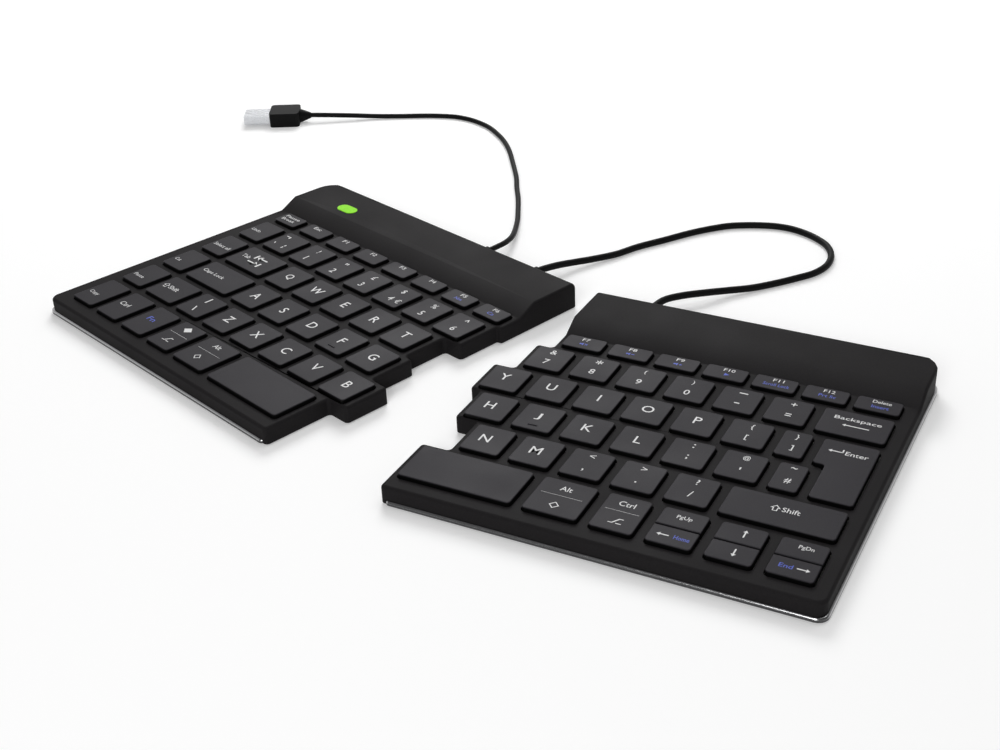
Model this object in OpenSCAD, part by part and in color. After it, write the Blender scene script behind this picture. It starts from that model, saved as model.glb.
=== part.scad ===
// Ergonomic split keyboard: two low halves joined by a cable, sizes in millimetres.
// Each half is drawn from its outer front corner, x running inwards and y to the rear.
// The right half is the mirror of that frame. The desk is z = 0.

/* [Halves on the desk] */
// Gap between the two halves, from the innermost point of one to that of the other
halves_gap = 7.65; // [4:0.05:70]
// How much further back the left half stands
halves_stagger = 4; // [0:1:20]
// Angle between the two halves
splay_angle = 19; // [10:1:30]

/* [Keys] */
// Distance from one key column to the next
key_pitch = 19; // [18:0.25:20]
// Distance from one key row to the next
row_pitch = 20; // [19:0.25:21]
// Gap between neighbouring keys
key_gap = 4; // [3.6:0.1:4.4]
// Gap between the keys of the left function row and of the front rows
wide_gap = 4.3; // [3.8:0.1:4.8]
// Gap between the keys of the right function row
right_function_gap = 3; // [2.6:0.1:4.4]
// Depth of a function key
function_d = 8.8; // [7.5:0.1:10]
// How far the front row's keys reach in front of their row
front_extra = 3.2; // [3:0.1:5]
// Slit between two half keys that share one place
half_key_slit = 0.6; // [0.5:0.1:1.2]
// Radius of a key's corners
key_corner_r = 1.3; // [0.6:0.1:2]
// Height of a key's cap from its skirt to its top
key_h = 2.6; // [2.4:0.1:3]
// Thickness of a key's top
key_top_t = 1.2; // [0.8:0.1:1.4]
// Thickness of a key's skirt
key_skirt_t = 1; // [0.7:0.1:1.2]
// How far a key stands above the deck
key_proud = 1.5; // [1.3:0.1:2]
// Clearance around a key in its opening
key_clear = 0.5; // [0.3:0.05:0.7]
// How far a key goes down when it is pressed
key_travel = 1.6; // [1.2:0.1:1.8]

/* [Key widths] */
// Width of a shortcut key in the outer left column
shortcut_w = 14; // [12:0.5:15]
// Width of the control, function and meta keys
modifier_w = 14.5; // [13:0.5:16]
// Width of the left alt key
left_alt_w = 19; // [17:0.5:21]
// Width of the left space key
left_space_w = 43; // [38:0.5:46]
// Width of the tab key
tab_w = 25; // [23:0.5:28]
// Width of the caps lock key
caps_w = 29; // [26:0.5:32]
// Width of the left shift key
left_shift_w = 19; // [17:0.5:22]
// Width of the delete key
delete_w = 16.5; // [15:0.5:19]
// Width of the backspace key
backspace_w = 25; // [22:0.5:28]
// Width of the upper part of the enter key
enter_top_w = 19.5; // [18:0.5:22]
// Width of the lower part of the enter key
enter_low_w = 15; // [13:0.5:16.5]
// Width of the two narrow keys beside the enter key
narrow_w = 10; // [9.5:0.25:12]
// Width of the right shift key
right_shift_w = 39; // [36:0.5:42]
// Width of the arrow and page keys
arrow_w = 15.5; // [14:0.5:17]
// Width of the right control key
right_ctrl_w = 15; // [14:0.5:17]
// Width of the right alt key
right_alt_w = 19.5; // [17:0.5:21]
// Width of the right space key
right_space_w = 42.5; // [38:0.5:46]

/* [Case] */
// Margin from the left half's outer edge to its keys
left_margin = 9; // [7:0.5:12]
// Margin from the right half's outer edge to its keys
right_margin = 6; // [5:0.5:10]
// Margin from the last key of a row to the stepped inner edge
inner_margin = 3; // [2.2:0.1:3.5]
// Margin in front of the front row
front_margin = 6.6; // [5.6:0.1:8]
// How far a step of the inner edge lies in front of its row
step_lead = 1; // [0.8:0.1:1.4]
// Radius of the steps' corners
step_r = 1.6; // [0.5:0.1:2.2]
// Radius of the front corners
front_corner_r = 4; // [2:0.5:6]
// Radius of the rear outer corner
rear_corner_r = 10; // [4:0.5:14]
// Thickness of the case walls
wall = 1.8; // [1.5:0.1:2]
// Thickness of the deck around the keys
deck_t = 1.4; // [1:0.1:1.6]
// Height of the deck above the desk
deck_z = 7.5; // [6.8:0.1:8]

/* [Rear bar] */
// Height of the bar's top above the desk
bar_top = 11.8; // [11:0.1:14]
// Depth of the bar from its foot to the rear face
bar_d = 32.7; // [31:0.1:40]
// Depth of the slope up to the bar's top
bar_slope = 8.3; // [6:0.1:10]
// Strip of deck between the function row and the bar's foot
bar_gap = 1.5; // [1.2:0.1:4]
// Radius of the bar's upper rear edge
bar_round = 3; // [1:0.1:3.2]

/* [Base] */
// Thickness of the base plate
plate_t = 1.6; // [1.4:0.1:2]
// How far the base plate shows beyond the case
rim = 0.8; // [0.4:0.1:1.5]
// Width of the case's skirt beside the base plate on the inner edge
skirt = 2; // [1.9:0.1:2.2]
// Height of the rubber feet
foot_h = 0.6; // [0.5:0.1:1]
// Length of a foot
foot_l = 22; // [12:1:30]
// Width of a foot
foot_w = 6; // [4:0.5:9]
// Clearance between pieces that fit together
fit = 0.1; // [0.05:0.05:0.2]

/* [Inside] */
// Thickness of the switch plate
switch_plate_t = 0.6; // [0.4:0.1:0.7]
// Thickness of the switch membrane
membrane_t = 0.4; // [0.3:0.1:0.5]
// Thickness of the circuit boards
board_t = 1.2; // [0.8:0.1:1.6]
// Height of the posts under the circuit boards
board_post_h = 1.2; // [1:0.1:1.6]
// Radius of a screw's shank
screw_r = 0.75; // [0.6:0.05:0.8]
// Radius of a screw's head
screw_head_r = 1.7; // [1.4:0.05:1.8]
// Height of a screw's head
screw_head_h = 0.8; // [0.6:0.05:0.85]
// Length of a screw's shank
screw_l = 3; // [2.6:0.1:3.2]
// Largest radius of a rubber dome
dome_r = 3; // [2:0.1:3]
// Length of a scissor arm, seen from above
scissor_l = 10; // [8:0.5:11]
// Thickness of a scissor arm
scissor_t = 0.8; // [0.6:0.1:0.8]

/* [Cables] */
// Diameter of the host cable
usb_cable_d = 2.5; // [2:0.1:3.2]
// Diameter of the link cable
link_cable_d = 3; // [2.4:0.1:3.6]
// Place of the host cable's gland along the left half
usb_gland_x = 102; // [60:1:112]
// Place of the link cable's gland along the left half
left_link_x = 133; // [125:1:145]
// Place of the link cable's gland along the right half
right_link_x = 119; // [100:1:125]
// Height of the glands above the desk
gland_z = 5.5; // [5.4:0.1:5.8]
// Length of a gland's tapered nose
gland_nose_l = 5; // [4:0.5:8]
// Radius of a gland's neck in the rear wall
gland_neck_r = 2.5; // [2.2:0.1:2.6]

/* [Status light] */
// Place of the light along the left half
light_x = 31; // [25:1:40]
// Length of the light's lens
light_l = 11; // [6:0.5:14]
// Width of the light's lens
light_w = 6; // [4:0.5:8]
// How far the lens stands above the bar
light_proud = 0.2; // [0.1:0.05:0.4]

/* [Hidden] */

$fn = 48;
LEFT = 0;
RIGHT = 1;
FUNCTION_ROW = 0;
ENTER_TOP_ROW = 2;
ENTER_LOW_ROW = 3;
FRONT_ROW = 5;
over = 1;            // how far a cutter reaches past the faces that it cuts
arc_steps = 5;       // flat faces that make up one rounded corner
least_r = 0.3;       // smallest radius of a rounded inner corner
step_r_share = 0.45; // largest share of a small step that its corner radius takes

case_colour = "#232325";
key_colour = "#2c2c2f";
rim_colour = "#c9ccd0";
steel_colour = "#a7abb0";
film_colour = "#d8d8cf";
rubber_colour = "#1b1b1c";
board_colour = "#1f5a38";
light_colour = "#74d61f";
cable_colour = "#19191a";

// Key widths of each row, from the outer edge inwards
key_w = key_pitch - key_gap;
key_d = row_pitch - key_gap;
right_function_w = key_w + wide_gap - right_function_gap;
function plain(count) = [for (i = [1:count]) key_w];
left_rows = [
    concat([shortcut_w], plain(7)),
    concat([shortcut_w], plain(7)),
    concat([shortcut_w, tab_w], plain(5)),
    concat([shortcut_w, caps_w], plain(5)),
    concat([shortcut_w, left_shift_w], plain(6)),
    [shortcut_w, modifier_w, modifier_w, modifier_w, left_alt_w, left_space_w]
];
right_rows = [
    concat([delete_w], [for (i = [1:6]) right_function_w]),
    concat([backspace_w], plain(6)),
    concat([enter_top_w, narrow_w], plain(6)),
    concat([enter_low_w, narrow_w], plain(6)),
    concat([right_shift_w], plain(5)),
    [arrow_w, arrow_w, arrow_w, right_ctrl_w, right_alt_w, right_space_w]
];
split_keys = 3;      // places of the right front row, from the outer edge, with two half keys each

function rows(side) = side == LEFT ? left_rows : right_rows;
function margin(side) = side == LEFT ? left_margin : right_margin;
function gap_of(side, row) =
    row == FUNCTION_ROW && side == RIGHT ? right_function_gap :
    row == FUNCTION_ROW || row == FRONT_ROW ? wide_gap : key_gap;
function widths_before(list, i) = i == 0 ? 0 : list[i - 1] + widths_before(list, i - 1);
function last_of(list) = len(list) - 1;

// Place and size of key i of a row
function key_x(side, row, i) =
    margin(side) + widths_before(rows(side)[row], i) + i * gap_of(side, row);
function key_width(side, row, i) = rows(side)[row][i];
function row_front(row) = row == FRONT_ROW ? -front_extra : (FRONT_ROW - row) * row_pitch;
function row_depth(row) =
    row == FUNCTION_ROW ? function_d : row == FRONT_ROW ? key_d + front_extra : key_d;
function key_rect(side, row, i) =
    [key_x(side, row, i), row_front(row), key_width(side, row, i), row_depth(row)];
function row_end(side, row) =
    key_x(side, row, last_of(rows(side)[row])) + key_width(side, row, last_of(rows(side)[row]));

// Front and rear half of a key place that is split in two
half_key_d = (row_depth(FRONT_ROW) - half_key_slit) / 2;
function front_half(r) = [r[0], r[1], r[2], half_key_d];
function rear_half(r) = [r[0], r[1] + half_key_d + half_key_slit, r[2], half_key_d];
function is_split(side, row, i) = side == RIGHT && row == FRONT_ROW && i < split_keys;
function is_enter(side, row, i) =
    side == RIGHT && i == 0 && (row == ENTER_TOP_ROW || row == ENTER_LOW_ROW);

// Heights
plate_z = foot_h;
plate_top = plate_z + plate_t;
membrane_z = plate_top + switch_plate_t;
mechanism_z = membrane_z + membrane_t;
key_top = deck_z + key_proud;
key_z = key_top - key_h;
cap_under = key_top - key_top_t;
mechanism_h = cap_under - mechanism_z;
deck_under = deck_z - deck_t;

// Depths
case_front = -front_extra - front_margin;
bar_foot = row_front(FUNCTION_ROW) + function_d + bar_gap;
case_back = bar_foot + bar_d;
light_y = bar_foot + bar_slope + (bar_d - bar_slope - bar_round) / 3;

// Outline of a half: the rear, outer and front edges grow by edge, the stepped edge shrinks by inset
function wall_x(side, row) = row_end(side, row) + inner_margin;
function step_y(side, row, inset) =
    row_front(row - 1) - step_lead + inset * sign(wall_x(side, row - 1) - wall_x(side, row));
function step_corner_r(side, row) =
    min(step_r, abs(wall_x(side, row - 1) - wall_x(side, row)) * step_r_share);
function outline(side, edge, inset) = round_corners(concat(
    [[-edge, case_front - edge, front_corner_r]],
    [[wall_x(side, FRONT_ROW) - inset, case_front - edge, step_r]],
    [for (row = [FRONT_ROW:-1:1]) for (side_of_step = [0, 1])
        [wall_x(side, row - side_of_step) - inset, step_y(side, row, inset), step_corner_r(side, row)]],
    [[wall_x(side, FUNCTION_ROW) - inset, case_back + edge, step_r]],
    [[-edge, case_back + edge, rear_corner_r]]));

// Turn a list of [x, y, radius] with square corners into points with round corners
function unit(v) = v / norm(v);
function flat(p) = [p[0], p[1]];
function corner(before, at, after) =
    let (to_before = unit(flat(before) - flat(at)))
    let (to_after = unit(flat(after) - flat(at)))
    let (centre = flat(at) + at[2] * (to_before + to_after))
    [for (k = [0:arc_steps]) let (a = 90 * k / arc_steps)
        centre - at[2] * (to_after * cos(a) + to_before * sin(a))];
function round_corners(list) =
    [for (i = [0:last_of(list)]) let (n = len(list))
        each corner(list[(i + n - 1) % n], list[i], list[(i + 1) % n])];
function rect_corners(r, grow, radius) = [
    [r[0] - grow, r[1] - grow, radius], [r[0] + r[2] + grow, r[1] - grow, radius],
    [r[0] + r[2] + grow, r[1] + r[3] + grow, radius], [r[0] - grow, r[1] + r[3] + grow, radius]];

// The L-shaped enter key spans two rows
enter_low = key_rect(RIGHT, ENTER_LOW_ROW, 0);
enter_top = key_rect(RIGHT, ENTER_TOP_ROW, 0);
function enter_corners(grow, radius) = [
    [enter_low[0] - grow, enter_low[1] - grow, radius],
    [enter_low[0] + enter_low[2] + grow, enter_low[1] - grow, radius],
    [enter_low[0] + enter_low[2] + grow, enter_top[1] - grow, radius],
    [enter_top[0] + enter_top[2] + grow, enter_top[1] - grow, radius],
    [enter_top[0] + enter_top[2] + grow, enter_top[1] + enter_top[3] + grow, radius],
    [enter_low[0] - grow, enter_top[1] + enter_top[3] + grow, radius]];

// Places of the screws, feet and boards of a half
boss_wall = 0.95;
boss_r = screw_r + boss_wall;
bore_r = screw_r + fit;
front_boss_y = case_front + wall + fit + boss_r;
rear_boss_y = case_back - wall - 2 * boss_r;
boss_end_in = 7;     // from an edge to the middle of the first screw boss
boss_corner_in = 4;  // from the rear corner's round to the middle of its screw boss
function boss_xs(side, row, first) =
    let (last = wall_x(side, row) - boss_end_in) [first, (first + last) / 2, last];
function boss_places(side) = concat(
    [for (x = boss_xs(side, FRONT_ROW, boss_end_in)) [x, front_boss_y]],
    [for (x = boss_xs(side, FUNCTION_ROW, rear_corner_r + boss_corner_in)) [x, rear_boss_y]]);
foot_in = 8;         // from an edge of the case to a foot
function foot_places(side) = [
    [foot_in, case_front + foot_in], [wall_x(side, FRONT_ROW) - foot_in - foot_l, case_front + foot_in],
    [foot_in, case_back - 2 * foot_in],
    [wall_x(side, FUNCTION_ROW) - foot_in - foot_l, case_back - 2 * foot_in]];
board_y = bar_foot + bar_slope;
board_d = 14;
board_in = 12;
board_post_r = 2.4;
post_end_in = 6;     // from a board's end to the middle of a post
post_side_in = 3;    // from a board's long side to the middle of a post
board_z = plate_top + board_post_h;
function board_w(side) = wall_x(side, FUNCTION_ROW) - 2 * board_in;
function board_posts(side) = [for (x = [post_end_in, board_w(side) - post_end_in])
    for (y = [post_side_in, board_d - post_side_in]) [board_in + x, board_y + y]];

// Pieces of the key mechanism, one for each key and two for a wide one
wide_limit = 28;
function halves_of(r) = r[2] <= wide_limit ? [r] :
    [[r[0], r[1], r[2] / 2, r[3]], [r[0] + r[2] / 2, r[1], r[2] / 2, r[3]]];
function mechanism_rects(side) = [for (row = [FUNCTION_ROW:FRONT_ROW])
    for (i = [0:last_of(rows(side)[row])]) let (r = key_rect(side, row, i))
        each is_split(side, row, i) ? [front_half(r), rear_half(r)] : halves_of(r)];
dome_taper = 0.6;    // a dome's radius at the top, as a share of that at its foot
arm_gap = 0.2;
arm_room = key_skirt_t + 2 * scissor_t + 3 * arm_gap;
crossbar_d = 1.2;
function dome_radius(r) =
    min(dome_r, r[2] / 2 - arm_room, r[3] / 2 - key_skirt_t - crossbar_d - 2 * arm_gap);
function arm_length(r) = min(scissor_l, r[3] - 2 * key_skirt_t - 3 * arm_gap);

// Where the halves stand: the origin is the middle of both base plates
function turned(p, a) = [p[0] * cos(a) - p[1] * sin(a), p[0] * sin(a) + p[1] * cos(a)];
function inner_reach(side) = max([for (p = outline(side, 0, 0)) turned(p, -splay_angle / 2)[0]]);
halves_spread = inner_reach(LEFT) + inner_reach(RIGHT) + halves_gap;
function left_spot(p) = turned(p, -splay_angle / 2) + [-halves_spread, halves_stagger] / 2;
function right_spot(p) = turned([-p[0], p[1]], splay_angle / 2) + [halves_spread, -halves_stagger] / 2;
plate_spots = concat([for (p = outline(LEFT, rim, skirt)) left_spot(p)],
    [for (p = outline(RIGHT, rim, skirt)) right_spot(p)]);
spot_xs = [for (p = plate_spots) p[0]];
spot_ys = [for (p = plate_spots) p[1]];
middle = [min(spot_xs) + max(spot_xs), min(spot_ys) + max(spot_ys)] / 2;
function left_point(p, z) = let (q = left_spot(p) - middle) [q[0], q[1], z];
function right_point(p, z) = let (q = right_spot(p) - middle) [q[0], q[1], z];

// Cable routes, chosen along the curves that lie on the desk
straight_l = 3;      // straight stretch at each end of a cable
sleeve_t = 0.3;      // how far a gland's nose or the plug's neck stands round its cable
cable_sides = 8;
usb_start = left_point([usb_gland_x, case_back + gland_nose_l], gland_z);
usb_lead = left_point([usb_gland_x, case_back + gland_nose_l + straight_l], gland_z);
link_start = left_point([left_link_x, case_back + gland_nose_l], gland_z);
link_lead = left_point([left_link_x, case_back + gland_nose_l + straight_l], gland_z);
link_end = right_point([right_link_x, case_back + gland_nose_l], gland_z);
link_tail = right_point([right_link_x, case_back + gland_nose_l + straight_l], gland_z);
// The third number of a point is the height of the cable's underside above the desk
usb_points = [
    [-53, 90.5, 3.6], [-55.5, 99, 2.6], [-61, 109, 1.2], [-67.5, 119.5, 0.3], [-74.5, 129.5, 0],
    [-82.5, 140.5, 0], [-91, 151, 0], [-99, 161.5, 0], [-111, 175, 0], [-122.5, 187.5, 0],
    [-133, 197, 0], [-143, 204, 0], [-153, 209.5, 0], [-163.5, 212.5, 0], [-172, 213, 0],
    [-180, 211.5, 0], [-191, 206, 0], [-203.5, 197.5, 0], [-215, 189, 0.4], [-225.5, 180.5, 1.4]
];
link_points = [
    [-20.5, 85, 2.9], [-17.5, 93, 1.8], [-13, 102.5, 0.8], [-8, 113, 0.2], [-4, 125, 0], [2, 137, 0],
    [8, 149.5, 0], [13, 158, 0], [19, 166, 0], [25, 171, 0], [31.5, 175, 0], [38.5, 178, 0],
    [45.5, 179, 0], [53, 178, 0], [60, 175.5, 0], [66.5, 171.5, 0], [71.5, 165.5, 0], [74.5, 158.5, 0],
    [75.5, 151, 0], [74, 143, 0], [70, 135, 0], [64.5, 125.5, 0], [58.5, 116, 0.3], [52, 107, 1.2],
    [46.5, 98, 2.5], [40.5, 89.5, 3.2], [36.8, 81.5, 3.8]
];
function lying(points, cable_d) = [for (p = points) [p[0], p[1], p[2] + cable_d / 2]];
plug_place = [-243, 166.5, 3.8];
plug_turn = 217;
plug_neck_l = 6;
plug_body_l = 16;
plug_body_w = 15;
plug_corner_r = 2;
plug_shell_l = 14;
plug_shell_w = 12;
plug_shell_h = 4.5;
plug_shell_t = 0.4;
plug_tongue_l = 11;
plug_tongue_h = 1.8;
plug_lead = plug_place - straight_l * [cos(plug_turn), sin(plug_turn), 0];
usb_route = concat([usb_start, usb_lead], lying(usb_points, usb_cable_d), [plug_lead, plug_place]);
link_route = concat([link_start, link_lead], lying(link_points, link_cable_d), [link_tail, link_end]);

// Sweep a round tube along a list of points
function heading(path, i) = unit(path[min(i + 1, last_of(path))] - path[max(i - 1, 0)]);
function ring(path, i, r) =
    let (ahead = heading(path, i))
    let (across = unit(cross([0, 0, 1], ahead)))
    let (up = cross(ahead, across))
    [for (k = [0:cable_sides - 1]) let (a = 360 * (k + 0.5) / cable_sides)
        path[i] + r * (across * cos(a) + up * sin(a))];
function ring_faces(i, n) = [for (k = [0:n - 1]) let (next = (k + 1) % n)
    each [[i * n + k, (i + 1) * n + k, i * n + next],
          [i * n + next, (i + 1) * n + k, (i + 1) * n + next]]];
module tube(path, r) {
    n = cable_sides;
    last = last_of(path);
    polyhedron(
        points = [for (i = [0:last]) each ring(path, i, r)],
        faces = concat(
            [for (k = [1:n - 2]) [0, k, k + 1]],
            [for (i = [0:last - 1]) each ring_faces(i, n)],
            [for (k = [1:n - 2]) [last * n, last * n + k + 1, last * n + k]]));
}

// Shared shapes
module slab(points, bottom, top) {
    translate([0, 0, bottom]) linear_extrude(top - bottom) polygon(points);
}

module place(side) {
    spot = side == LEFT ? left_point([0, 0], 0) : right_point([0, 0], 0);
    turn = side == LEFT ? -splay_angle / 2 : splay_angle / 2;
    translate(spot) rotate(turn) mirror([side == LEFT ? 0 : 1, 0, 0]) children();
}

// The bar's section, drawn in y and z, thinned by inset
module bar_prism(side, inset) {
    top = bar_top - inset;
    back = case_back - inset;
    radius = max(bar_round - inset, least_r);
    foot = bar_foot + inset;
    section = concat(
        [[foot, plate_z], [back, plate_z], [back, top - radius]],
        [for (k = [1:arc_steps]) let (a = 90 * k / arc_steps)
            [back - radius + radius * cos(a), top - radius + radius * sin(a)]],
        [[foot + bar_slope, top], [foot, deck_z - inset]]);
    translate([-over, 0, 0]) rotate([90, 0, 90])
        linear_extrude(wall_x(side, FUNCTION_ROW) + 2 * over) polygon(section);
}

module key_openings(side) {
    bottom = key_z - key_travel - key_clear;
    top = deck_z + over;
    radius = key_corner_r + key_clear;
    for (row = [FUNCTION_ROW:FRONT_ROW])
        for (i = [0:last_of(rows(side)[row])])
            if (!is_enter(side, row, i))
                slab(round_corners(rect_corners(key_rect(side, row, i), key_clear, radius)), bottom, top);
    if (side == RIGHT)
        slab(round_corners(enter_corners(key_clear, radius)), bottom, top);
}

module along_y(x, y, z) {
    translate([x, y, z]) rotate([-90, 0, 0]) children();
}

module gland_hole(x) {
    along_y(x, case_back - wall - over, gland_z)
        cylinder(r = gland_neck_r + fit, h = wall + 2 * over);
}

// A pill-shaped outline for the light and the feet
module pill(length, width, bottom, top) {
    translate([0, 0, bottom]) linear_extrude(top - bottom) union() {
        translate([width / 2, 0]) circle(d = width);
        translate([length - width / 2, 0]) circle(d = width);
        translate([width / 2, -width / 2]) square([length - width, width]);
    }
}

module case_shell(side) {
    difference() {
        union() {
            slab(outline(side, 0, 0), plate_z, deck_z);
            intersection() {
                slab(outline(side, 0, 0), plate_z, bar_top);
                bar_prism(side, 0);
            }
        }
        slab(outline(side, rim + fit, skirt - fit), plate_z - over, plate_top);
        slab(outline(side, -wall, skirt), plate_z, deck_under);
        intersection() {
            slab(outline(side, -wall, skirt), plate_z, bar_top);
            bar_prism(side, wall);
        }
        key_openings(side);
        children();
    }
}

module case_bosses(side) {
    for (p = boss_places(side)) {
        under = p[1] < 0 ? deck_under : bar_top - wall;
        difference() {
            translate([p[0], p[1], plate_top]) cylinder(r = boss_r, h = under - plate_top + fit);
            translate([p[0], p[1], plate_top - over]) cylinder(r = bore_r, h = screw_l + over);
        }
    }
}

module base_plate(side) {
    counterbore_h = screw_head_h + fit;
    difference() {
        slab(outline(side, rim, skirt), plate_z, plate_top);
        for (p = boss_places(side)) {
            translate([p[0], p[1], plate_z - over]) cylinder(r = bore_r, h = plate_t + 2 * over);
            translate([p[0], p[1], plate_z - over])
                cylinder(r = screw_head_r + fit, h = counterbore_h + over);
        }
    }
    for (p = board_posts(side))
        translate([p[0], p[1], plate_top]) cylinder(r = board_post_r, h = board_post_h);
}

module screws(side) {
    head_z = plate_z + fit;
    for (p = boss_places(side)) translate([p[0], p[1], head_z]) {
        cylinder(r = screw_head_r, h = screw_head_h);
        cylinder(r = screw_r, h = screw_head_h + screw_l);
    }
}

module feet(side) {
    for (p = foot_places(side)) translate(p) pill(foot_l, foot_w, 0, foot_h);
}

// The sheets under the keys fill the key field
module field_sheet(side, bottom, top) {
    field_edge = 1;
    front = case_front + wall + fit + 2 * boss_r + fit;
    intersection() {
        slab(outline(side, -wall - fit, skirt + fit), bottom, top);
        translate([margin(side) - field_edge, front, bottom])
            cube([wall_x(side, ENTER_TOP_ROW) + bar_d, bar_foot - front, top - bottom]);
    }
}

module domes(side) {
    for (r = mechanism_rects(side))
        translate([r[0] + r[2] / 2, r[1] + r[3] / 2, mechanism_z])
            cylinder(r1 = dome_radius(r), r2 = dome_radius(r) * dome_taper, h = mechanism_h);
}

// One arm of a scissor, leaning back or, mirrored, to the front
module scissor_arm(length, x) {
    translate([x, 0, 0]) rotate([90, 0, 90]) linear_extrude(scissor_t)
        polygon([[-length / 2, 0], [crossbar_d - length / 2, 0],
            [length / 2, mechanism_h], [length / 2 - crossbar_d, mechanism_h]]);
}

module scissor_frame(length, inside) {
    scissor_arm(length, inside);
    scissor_arm(length, -inside - scissor_t);
    translate([-inside - scissor_t, length / 2 - crossbar_d, mechanism_h - scissor_t])
        cube([2 * (inside + scissor_t), crossbar_d, scissor_t]);
}

module scissors(side) {
    for (r = mechanism_rects(side)) {
        inside = dome_radius(r) + arm_gap;
        outside = inside + scissor_t + arm_gap;
        pin_l = arm_gap + scissor_t;
        translate([r[0] + r[2] / 2, r[1] + r[3] / 2, mechanism_z]) {
            scissor_frame(arm_length(r), outside);
            mirror([0, 1, 0]) scissor_frame(arm_length(r), inside);
            for (x = [inside + scissor_t / 2, -inside - scissor_t / 2 - pin_l])
                translate([x, 0, mechanism_h / 2]) rotate([0, 90, 0])
                    cylinder(r = scissor_t / 2, h = pin_l);
        }
    }
}

module board(side, chip_xs) {
    chip = 7;
    chip_h = 1.2;
    translate([board_in, board_y, board_z]) cube([board_w(side), board_d, board_t]);
    for (x = chip_xs)
        translate([x - chip / 2, board_y + (board_d - chip) / 2, board_z + board_t])
            cube([chip, chip, chip_h]);
}

module gland(x, cable_d) {
    flange_lip = 0.6;
    flange_t = 1.2;
    collar_lip = 0.8;
    collar_t = 1.4;
    along_y(x, case_back - wall - flange_t, gland_z) cylinder(r = gland_neck_r + flange_lip, h = flange_t);
    along_y(x, case_back - wall, gland_z) cylinder(r = gland_neck_r, h = wall);
    along_y(x, case_back, gland_z)
        cylinder(r1 = gland_neck_r + sleeve_t, r2 = cable_d / 2 + sleeve_t, h = gland_nose_l);
    along_y(x, case_back + gland_nose_l - collar_t, gland_z)
        cylinder(r = cable_d / 2 + collar_lip, h = collar_t);
}

// A key's cap is a shell, open below
module cap(outer, inner) {
    difference() {
        slab(round_corners(outer), key_z, key_top);
        slab(round_corners(inner), key_z - over, cap_under);
    }
}

module key(r) {
    cap(rect_corners(r, 0, key_corner_r),
        rect_corners(r, -key_skirt_t, max(key_corner_r - key_skirt_t, least_r)));
}

module keys(side, row, first, last) {
    color(key_colour) place(side)
        for (i = [first:last]) key(key_rect(side, row, i));
}

// A half key's two corners beside the slit are nearly square
function half_corners(r, rear, grow, radius) =
    let (list = rect_corners(r, grow, radius))
    [for (i = [0:last_of(list)]) (i < 2) == rear ? [list[i][0], list[i][1], least_r] : list[i]];
module half_key(place_from_edge, rear) {
    whole = key_rect(RIGHT, FRONT_ROW, place_from_edge);
    r = rear ? rear_half(whole) : front_half(whole);
    color(key_colour) place(RIGHT)
        cap(half_corners(r, rear, 0, key_corner_r),
            half_corners(r, rear, -key_skirt_t, max(key_corner_r - key_skirt_t, least_r)));
}

// Left half
module left_top_case() {
    color(case_colour) place(LEFT) {
        case_shell(LEFT) {
            gland_hole(usb_gland_x);
            gland_hole(left_link_x);
            translate([light_x - light_l / 2 - fit, light_y, 0])
                pill(light_l + 2 * fit, light_w + 2 * fit, bar_top - wall - over, bar_top + over);
        }
        case_bosses(LEFT);
    }
}
module left_base_plate() { color(rim_colour) place(LEFT) base_plate(LEFT); }
module left_switch_plate() { color(steel_colour) place(LEFT) field_sheet(LEFT, plate_top, membrane_z); }
module left_membrane() { color(film_colour) place(LEFT) field_sheet(LEFT, membrane_z, mechanism_z); }
module left_domes() { color(rubber_colour) place(LEFT) domes(LEFT); }
module left_scissors() { color(film_colour) place(LEFT) scissors(LEFT); }
module left_main_board() {
    color(board_colour) place(LEFT) board(LEFT, [light_x, usb_gland_x - board_d, left_link_x - board_d]);
}
module left_feet() { color(rubber_colour) place(LEFT) feet(LEFT); }
module left_screws() { color(steel_colour) place(LEFT) screws(LEFT); }
module status_light() {
    flange = 1;
    color(light_colour) place(LEFT) {
        translate([light_x - light_l / 2, light_y, 0])
            pill(light_l, light_w, bar_top - wall - flange, bar_top + light_proud);
        translate([light_x - light_l / 2 - flange, light_y, 0])
            pill(light_l + 2 * flange, light_w + 2 * flange, bar_top - wall - flange, bar_top - wall);
    }
}
module usb_gland() { color(rubber_colour) place(LEFT) gland(usb_gland_x, usb_cable_d); }
module left_link_gland() { color(rubber_colour) place(LEFT) gland(left_link_x, link_cable_d); }

// Cables and the plug
module usb_cable() { color(cable_colour) tube(usb_route, usb_cable_d / 2); }
module link_cable() { color(cable_colour) tube(link_route, link_cable_d / 2); }
module at_plug() { translate(plug_place) rotate(plug_turn) children(); }
module usb_plug_body() {
    overmould = [plug_neck_l, -plug_body_w / 2, plug_body_l, plug_body_w];
    color(cable_colour) at_plug() {
        rotate([0, 90, 0]) cylinder(r1 = usb_cable_d / 2 + sleeve_t, r2 = plug_place[2], h = plug_neck_l);
        slab(round_corners(rect_corners(overmould, 0, plug_corner_r)),
            -plug_place[2], plug_place[2]);
    }
}
module usb_plug_shell() {
    color(steel_colour) at_plug()
        translate([plug_neck_l + plug_body_l, -plug_shell_w / 2, -plug_shell_h / 2])
            difference() {
                cube([plug_shell_l, plug_shell_w, plug_shell_h]);
                translate([-over, plug_shell_t, plug_shell_t])
                    cube([plug_shell_l + 2 * over, plug_shell_w - 2 * plug_shell_t,
                        plug_shell_h - 2 * plug_shell_t]);
            }
}
module usb_plug_tongue() {
    tongue_w = plug_shell_w - 2 * plug_shell_t - 2 * fit;
    color(film_colour) at_plug()
        translate([plug_neck_l + plug_body_l, -tongue_w / 2,
            plug_shell_h / 2 - plug_shell_t - fit - plug_tongue_h])
            cube([plug_tongue_l, tongue_w, plug_tongue_h]);
}

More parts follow.
